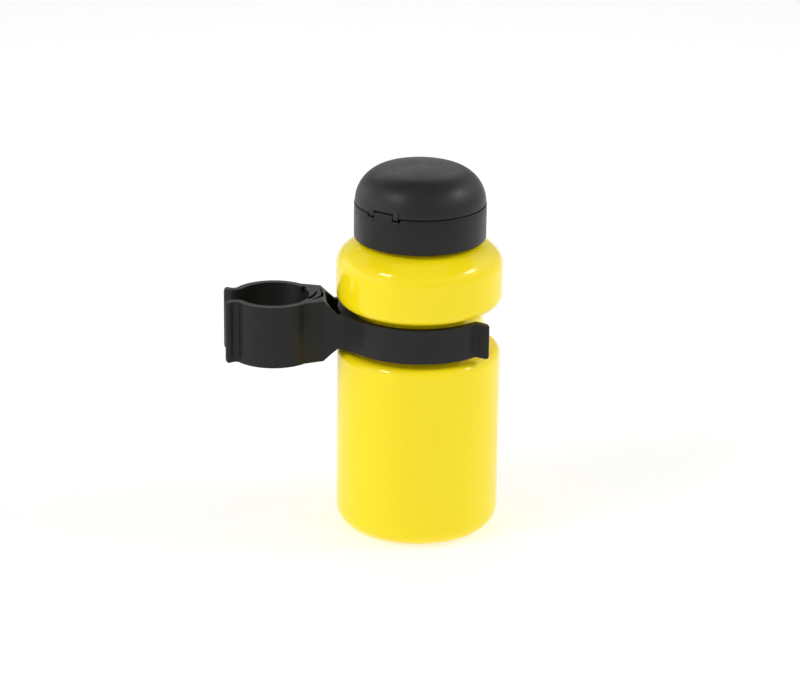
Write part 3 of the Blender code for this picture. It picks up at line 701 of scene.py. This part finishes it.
def build_stem():
    roof = STEM_TOP - STEM_ROOF
    shoulder_bottom = COLLAR_TOP + FIT_GAP
    shoulder_top = shoulder_bottom + STEM_SHOULDER_HEIGHT
    groove_half = SEAL_SECTION + FIT_GAP
    corners = [
        (0, roof, 0),
        (STEM_BORE, roof, 0.3),
        (STEM_BORE, STEM_BOTTOM, 0.2),
        (STEM_FLANGE_RADIUS, STEM_BOTTOM, 0.3),
        (STEM_FLANGE_RADIUS, PLATE_BOTTOM - FIT_GAP, 0.2),
        (STEM_RADIUS, PLATE_BOTTOM - FIT_GAP, 0.2),
        (STEM_RADIUS, shoulder_bottom, 0.1),
        (STEM_SHOULDER_RADIUS, shoulder_bottom, 0.2),
        (STEM_SHOULDER_RADIUS - 0.5, shoulder_top, 0.3),
        (STEM_RADIUS, shoulder_top, 0.3),
        (STEM_RADIUS, STEM_HEAD_BOTTOM, 0.1),
        (STEM_HEAD_RADIUS, STEM_HEAD_BOTTOM, 0.15),
        (STEM_HEAD_RADIUS, SEAL_Z - groove_half, 0),
        (SEAL_GROOVE, SEAL_Z - groove_half, 0),
        (SEAL_GROOVE, SEAL_Z + groove_half, 0),
        (STEM_HEAD_RADIUS, SEAL_Z + groove_half, 0),
        (STEM_HEAD_RADIUS - 0.15, STEM_TOP, 0.1),
        (PLUG_RADIUS, STEM_TOP, 0.4),
        (PLUG_RADIUS, PLUG_TOP, 0.5),
        (0, PLUG_TOP, 0),
    ]
    stem = turned("turret_stem", rounded(corners, 22.5, closed=False), 5)
    drills = []
    for k in range(PORTS):
        angle = 2 * pi * (k + 0.3) / PORTS
        port = (PORT_CIRCLE * cos(angle), PORT_CIRCLE * sin(angle))
        hole = [(port[0] + x, port[1] + y) for x, y in arc(0, 0, PORT_RADIUS, 0, 345, 15)]
        drills.append(prism(f"drill_{k}", hole, STEM_TOP - 3, STEM_TOP + 1))
        boolean(stem, drills[-1], "DIFFERENCE")
    apply_modifiers(stem, drills)
    smooth(stem)
    return stem


def build_seal():
    return turned("turret_o_ring", arc(SEAL_CIRCLE, SEAL_Z, SEAL_SECTION, 0, 345, 15), 5)


def build_spout():
    corners = [
        (SPOUT_LIP, SPOUT_BOTTOM, 0.1),
        (SPOUT_FLANGE_RADIUS, SPOUT_BOTTOM, 0.3),
        (SPOUT_FLANGE_RADIUS, SPOUT_BOTTOM + 1.2, 0.4),
        (SPOUT_WAIST_RADIUS + 0.3, SPOUT_BOTTOM + 1.9, 1.0),
        (SPOUT_WAIST_RADIUS, SPOUT_BOTTOM + 4.2, 1.5),
        (SPOUT_BEAD_RADIUS, SPOUT_TOP - 2.5, 0.6),
        (SPOUT_BEAD_RADIUS, SPOUT_TOP - 1.5, 0.6),
        (SPOUT_BEAD_RADIUS - 0.9, SPOUT_TOP - 0.4, 0.6),
        (SPOUT_BORE, SPOUT_TOP, 0.4),
        (SPOUT_HOLE + 0.4, SPOUT_TOP, 0.3),
        (SPOUT_HOLE, SPOUT_TOP - 0.4, 0.1),
        (SPOUT_HOLE, SPOUT_CEILING, 0.1),
        (SPOUT_BORE, SPOUT_CEILING, 0.2),
        (SPOUT_BORE, SPOUT_BOTTOM + 0.8, 0.1),
        (SPOUT_LIP, SPOUT_BOTTOM + 0.8, 0.1),
    ]
    return turned("drink_spout", rounded(corners, 18), 3)


# --- holder -------------------------------------------------------------------------------


def ring_lip():
    """One lip of the tube ring's mouth, as (distance out, half width) outlines of its parts."""
    half = (RING_RADIUS - RING_BORE) / 2
    middle = (RING_RADIUS + RING_BORE) / 2
    start = LIP_LEAVE - pi / 2
    centre = (
        middle * cos(LIP_LEAVE) - LIP_BEND * sin(start),
        middle * sin(LIP_LEAVE) + LIP_BEND * cos(start),
    )
    turn = (degrees(start) - 90, degrees(LIP_FLARE) - 90)
    outer = arc(*centre, LIP_BEND - half, *turn, 10)
    inner = arc(*centre, LIP_BEND + half, *turn, 10)
    end = (
        centre[0] + LIP_BEND * sin(LIP_FLARE) + LIP_STRAIGHT * cos(LIP_FLARE),
        centre[1] - LIP_BEND * cos(LIP_FLARE) + LIP_STRAIGHT * sin(LIP_FLARE),
    )
    tip = arc(*end, half, degrees(LIP_FLARE) + 90, degrees(LIP_FLARE) - 90, 18)
    return outer, tip, inner[::-1]


def holder_half():
    """The holder's outline above the X axis: its outside, the band's hollow, the ring's hollow."""
    lip_outer, tip, lip_inner = ring_lip()
    middle = len(tip) // 2
    outside = [(TUBE_X - u, v) for u, v in tip[middle::-1] + lip_outer[::-1]]
    ring_hollow = [(TUBE_X - u, v) for u, v in tip[middle:] + lip_inner]
    join = asin(WALL_JOIN / RING_RADIUS)
    outside += arc(TUBE_X, 0, RING_RADIUS, 180 - degrees(LIP_LEAVE), degrees(join), 4)[1:]
    neck = [
        (TUBE_X + RING_RADIUS * cos(join), WALL_JOIN, 0),
        (*NECK_CORNER, 1.5),
        (-36.2, 10.3, 3.0),
        (-31.8, 12.1, 5.0),
        (-27.6, 15.4, 0),
    ]
    outside += rounded(neck, 6, closed=False)[1:-1]
    outside += arc(0, 0, BAND_RADIUS, 145, 50.5, 3)
    lip = [
        (20.1, 24.38, 0),
        (20.9, 24.3, 0.8),
        (23.9, 26.35, 0.6),
        (25.5, 26.55, 0.9),
        (25.85, 24.9, 0.9),
        (22.3, 21.85, 2.0),
        (20.4, 21.1, 1.2),
        (17.8, 22.8, 0),
    ]
    outside += rounded(lip, 12, closed=False)[1:-1]
    band_hollow = arc(0, 0, BAND_BORE, 52, 180, 3)
    ring_hollow += arc(TUBE_X, 0, RING_BORE, 180 - degrees(LIP_LEAVE), 0, 4)[1:]
    return outside, band_hollow, ring_hollow


def holder_outline():
    outside, band_hollow, ring_hollow = holder_half()

    def mirrored(points):
        return [(x, -y) for x, y in points[::-1]]

    loop = outside + band_hollow[:-1] + mirrored(band_hollow) + mirrored(outside)
    return loop + [(x, -y) for x, y in ring_hollow[:-1]] + ring_hollow[::-1]


POCKETS = (  # depth and (x, y, corner radius) outline of each moulding hollow in the neck
    (
        10.6,
        (
            (-37.7, -6.6, 1.2),
            (-36.0, -9.1, 1.5),
            (-33.6, -9.9, 1.5),
            (-31.9, -9.0, 0.8),
            (-32.9, 0, 12),
            (-31.9, 9.0, 0.8),
            (-33.6, 9.9, 1.5),
            (-36.0, 9.1, 1.5),
            (-37.7, 6.6, 1.2),
        ),
    ),
    (
        9.0,
        (
            (-45.9, -5.4, 0.2),
            (-44.0, -3.3, 2),
            (-42.4, -0.2, 3),
            (-41.5, 2.5, 0.4),
            (-40.8, 2.3, 0.4),
            (-41.6, -1.2, 3),
            (-42.7, -4.1, 2),
            (-44.6, -6.8, 0.4),
        ),
    ),
    (
        5.0,
        (
            (-39.7, 5.4, 0.3),
            (-39.0, 5.7, 0.3),
            (-38.5, 1.0, 6),
            (-38.8, -3.6, 1.2),
            (-41.2, -6.0, 3),
            (-43.4, -7.6, 0.3),
            (-43.7, -7.0, 0.3),
            (-41.6, -5.0, 3),
            (-39.9, -2.6, 2),
            (-39.4, 1.0, 6),
        ),
    ),
    (2.2, ((-48.0, 7.4, 0.8), (-46.2, 5.2, 0.5), (-44.7, 7.4, 0.8), (-46.2, 9.4, 0.5))),
)


def slab(name, outline):
    """A prism on a closed (x, z) outline that runs along Y right through the holder."""
    reach = BAND_RADIUS + BEYOND
    shape = Shape()
    near = [(x, -reach, z) for x, z in outline]
    far = [(x, reach, z) for x, z in outline]
    join_rings(shape, near, far)
    shape.face(near)
    shape.face(far)
    return shape.finish(name)


def tip_outline(tip_x, outwards, half_height):
    """What is cut off above the rounded corner of a pair of lips."""
    overshoot = 0.02  # keeps the arc from only touching the edge
    centre_x = tip_x - outwards * TIP_CORNER
    centre_z = half_height - TIP_CORNER + overshoot
    beyond_x = tip_x + outwards * BEYOND
    beyond_z = half_height + BEYOND
    outline = arc(centre_x, centre_z, TIP_CORNER, 90, 90 - 90 * outwards, 11.25)
    return outline + [(beyond_x, centre_z), (beyond_x, beyond_z), (centre_x, beyond_z)]


def build_holder():
    half_ring, half_band = RING_HEIGHT / 2, BAND_HEIGHT / 2
    holder = prism("tube_holder", holder_outline(), HOLDER_Z - half_ring, HOLDER_Z + half_ring)
    step = [
        (NECK_CORNER[0] - BEYOND, half_ring + BEYOND),
        (NECK_CORNER[0] + half_ring - half_band, half_band),
        (BAND_RADIUS + BEYOND, half_band),
        (BAND_RADIUS + BEYOND, half_ring + BEYOND),
    ]
    cuts = (step, tip_outline(RING_TIP_X, -1, half_ring), tip_outline(BAND_TIP_X, 1, half_band))
    tools = []
    for side in (-1, 1):
        for outline in cuts:
            tools.append(slab("slab", [(x, HOLDER_Z + side * z) for x, z in outline]))
        face = HOLDER_Z + side * half_ring
        for depth, corners in POCKETS:
            span = sorted((face - side * depth, face + side * BEYOND))
            tools.append(prism("pocket", rounded(corners, 15), *span))
    for tool in tools:
        boolean(holder, tool, "DIFFERENCE")
    apply_modifiers(holder, tools)
    smooth(holder)
    add_bevel(holder, 0.3)
    apply_modifiers(holder)
    return holder


# --- studio -------------------------------------------------------------------------------


def build_camera():
    data = bpy.data.cameras.new("camera")
    data.lens = 145.89
    data.sensor_width = 36
    data.clip_end = 20
    camera = bpy.data.objects.new("camera", data)
    camera.location = (-0.11812, -1.22675, 0.52719)
    camera.rotation_euler = (radians(69.899), radians(-0.627), radians(-4.922))
    bpy.context.scene.collection.objects.link(camera)
    bpy.context.scene.camera = camera


def build_floor():
    size = 8.0
    below = -0.05 * MM  # just clear of the base, which stands on it
    mesh = bpy.data.meshes.new("floor")
    corners = [(x * size, y * size, below) for x, y in ((-1, -1), (1, -1), (1, 1), (-1, 1))]
    mesh.from_pydata(corners, [], [(0, 1, 2, 3)])
    floor = bpy.data.objects.new("floor", mesh)
    mesh.materials.append(floor_paper())
    bpy.context.scene.collection.objects.link(floor)


def softbox(name, azimuth, elevation, width, height, power):
    """An area light that faces the bottle, placed by direction in degrees."""
    data = bpy.data.lights.new(name, "AREA")
    data.shape = "RECTANGLE"
    data.size, data.size_y = width, height
    data.energy = power
    light = bpy.data.objects.new(name, data)
    a, e = radians(azimuth), radians(elevation)
    away = Vector((cos(e) * cos(a), cos(e) * sin(a), sin(e)))
    light.location = Vector((0, 0, LIGHT_AIM)) + away * LIGHT_DISTANCE
    light.rotation_euler = away.to_track_quat("Z", "Y").to_euler()
    bpy.context.scene.collection.objects.link(light)


def sky_ramp(nodes, stops):
    """Brightness by the height of the direction: (height from 0 to 1, brightness) stops."""
    ramp = nodes.new("ShaderNodeValToRGB")
    elements = ramp.color_ramp.elements
    while len(elements) < len(stops):
        elements.new(0.5)
    for element, (height, bright) in zip(elements, stops):
        element.position = height
        element.color = (bright, bright, bright, 1)
    return ramp


def build_world():
    """A white room, dim overhead, with diffusers low on the left and higher on the right."""
    world = bpy.data.worlds.new("room")
    bpy.context.scene.world = world
    world.use_nodes = True
    nodes, links = world.node_tree.nodes, world.node_tree.links
    place = nodes.new("ShaderNodeTexCoord")
    split = nodes.new("ShaderNodeSeparateXYZ")
    links.new(place.outputs["Generated"], split.inputs["Vector"])
    light = None
    for axis, sign, low, high in (
        ("Y", -1, 0.28, 0.40),
        ("Y", 1, 0.28, 0.12),
        ("X", -1, 0.84, 0.36),
        ("X", 1, 0.40, 0.70),
    ):
        rise = zip(DIFFUSER_RISE, (low, high))
        fall = zip(DIFFUSER_FALL, (high, CEILING))
        side = sky_ramp(nodes, ((0, low), *rise, *fall))
        links.new(split.outputs["Z"], side.inputs["Fac"])
        if not light:
            light = side.outputs["Color"]
            continue
        turned_to = nodes.new("ShaderNodeMapRange")
        turned_to.inputs["From Min"].default_value = sign * 0.5
        turned_to.inputs["From Max"].default_value = sign * 0.75
        links.new(split.outputs[axis], turned_to.inputs["Value"])
        mix = nodes.new("ShaderNodeMix")
        mix.data_type = "RGBA"
        links.new(turned_to.outputs["Result"], mix.inputs["Factor"])
        links.new(light, mix.inputs["A"])
        links.new(side.outputs["Color"], mix.inputs["B"])
        light = mix.outputs["Result"]
    links.new(light, nodes["Background"].inputs["Color"])
    nodes["Background"].inputs["Strength"].default_value = 2.0


def build_studio():
    build_camera()
    build_floor()
    build_world()
    softbox("left_softbox", -153, 45, 0.28, 0.18, 2.8)
    softbox("right_softbox", -5, 40, 0.3, 0.16, 2.3)
    softbox("back_softbox", 90, 38, 0.9, 0.3, 1.9)
    softbox("top_softbox", -90, 75, 1.0, 1.0, 1.2)
    bpy.context.scene.view_settings.view_transform = "Standard"


# --- the bottle, put together -------------------------------------------------------------


def place(piece, body, node, slot, material):
    piece.data.materials.clear()
    piece.data.materials.append(material)
    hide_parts(node)
    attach(piece, body)


def main():
    yellow = yellow_polyethylene()
    cap_black = black_polypropylene("cap_polypropylene", 0.40, 0.26)
    lid_black = black_polypropylene("lid_polypropylene", 0.42, 0.33)
    holder_black = black_polypropylene("holder_polypropylene", 0.40, 0.26, HOLDER_Z * MM)
    spout_grey = soft_plastic("spout_plastic", (0.085, 0.087, 0.09), (0.11, 0.112, 0.115), 0.42)
    stem_white = soft_plastic("stem_plastic", (0.70, 0.70, 0.67), (0.78, 0.78, 0.76), 0.36)
    gasket_grey = soft_plastic("gasket_foam", (0.30, 0.30, 0.31), (0.38, 0.38, 0.39), 0.8)
    ring_rubber = soft_plastic("o_ring_rubber", (0.015, 0.015, 0.015), (0.025, 0.025, 0.025), 0.5)
    place(build_bottle(), "bottle", "bottle_body", "yellow_bottle", yellow)
    place(build_collar(), "cap", "cap_collar", "black_cap", cap_black)
    place(build_lid(), "lid", "flip_lid", "black_lid", lid_black)
    place(build_pin(), "cap", "hinge_pin", "black_pin", cap_black)
    place(build_gasket(), "gasket", "cap_gasket", "grey_gasket", gasket_grey)
    place(build_stem(), "cap", "valve_stem", "white_stem", stem_white)
    place(build_seal(), "cap", "stem_seal", "black_o_ring", ring_rubber)
    place(build_spout(), "spout", "pull_spout", "grey_spout", spout_grey)
    place(build_holder(), "holder", "holder_clip", "black_holder", holder_black)
    build_studio()


main()
